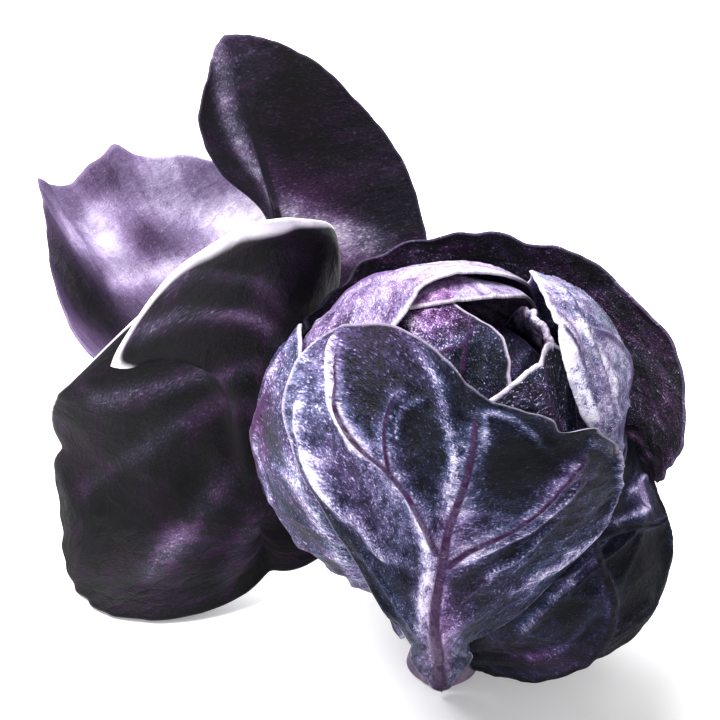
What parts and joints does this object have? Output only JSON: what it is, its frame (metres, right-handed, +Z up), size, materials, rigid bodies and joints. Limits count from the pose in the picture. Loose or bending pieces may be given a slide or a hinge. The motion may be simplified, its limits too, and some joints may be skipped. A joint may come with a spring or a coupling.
{
  "type": "brussels sprout",
  "caption": "Purple brussels sprout as picked: a wrapped round head of veined leaves on a short cut stem, with large outer leaves opened away from it to one side.",
  "frame": {"origin": "centre of the stem's cut face, on the surface that the sprout rests on", "axes": "+Z up; the opened leaves lie towards -X and +Y, and the front wrapper leaf faces -Y"},
  "size_m": [0.0655, 0.0721, 0.0443],
  "materials": {
    "stem": "cut, fibrous and matt",
    "bud": "tightly folded young leaf, waxy satin",
    "crown_leaf": "young leaf with pale granular bloom, satin",
    "wrapper_leaf": "waxy blue-violet leaf with raised pale veins, satin",
    "outer_leaf": "open violet leaf with soft veins, satin"
  },
  "bodies": {
    "root": {"stem": "stem", "heart": "bud", "crown_leaf_inner": "crown_leaf", "crown_leaf_curl": "crown_leaf", "crown_leaf_back": "crown_leaf", "crown_leaf_left": "crown_leaf", "crown_leaf_right": "crown_leaf", "wrapper_leaf_back": "wrapper_leaf", "wrapper_leaf_back_right": "wrapper_leaf", "wrapper_leaf_left": "wrapper_leaf", "wrapper_leaf_front": "wrapper_leaf", "wrapper_leaf_right": "wrapper_leaf", "outer_leaf_back": "outer_leaf", "outer_leaf_front_left": "outer_leaf", "outer_leaf_far_left": "outer_leaf", "outer_leaf_top": "outer_leaf"}
  },
  "joints": []
}
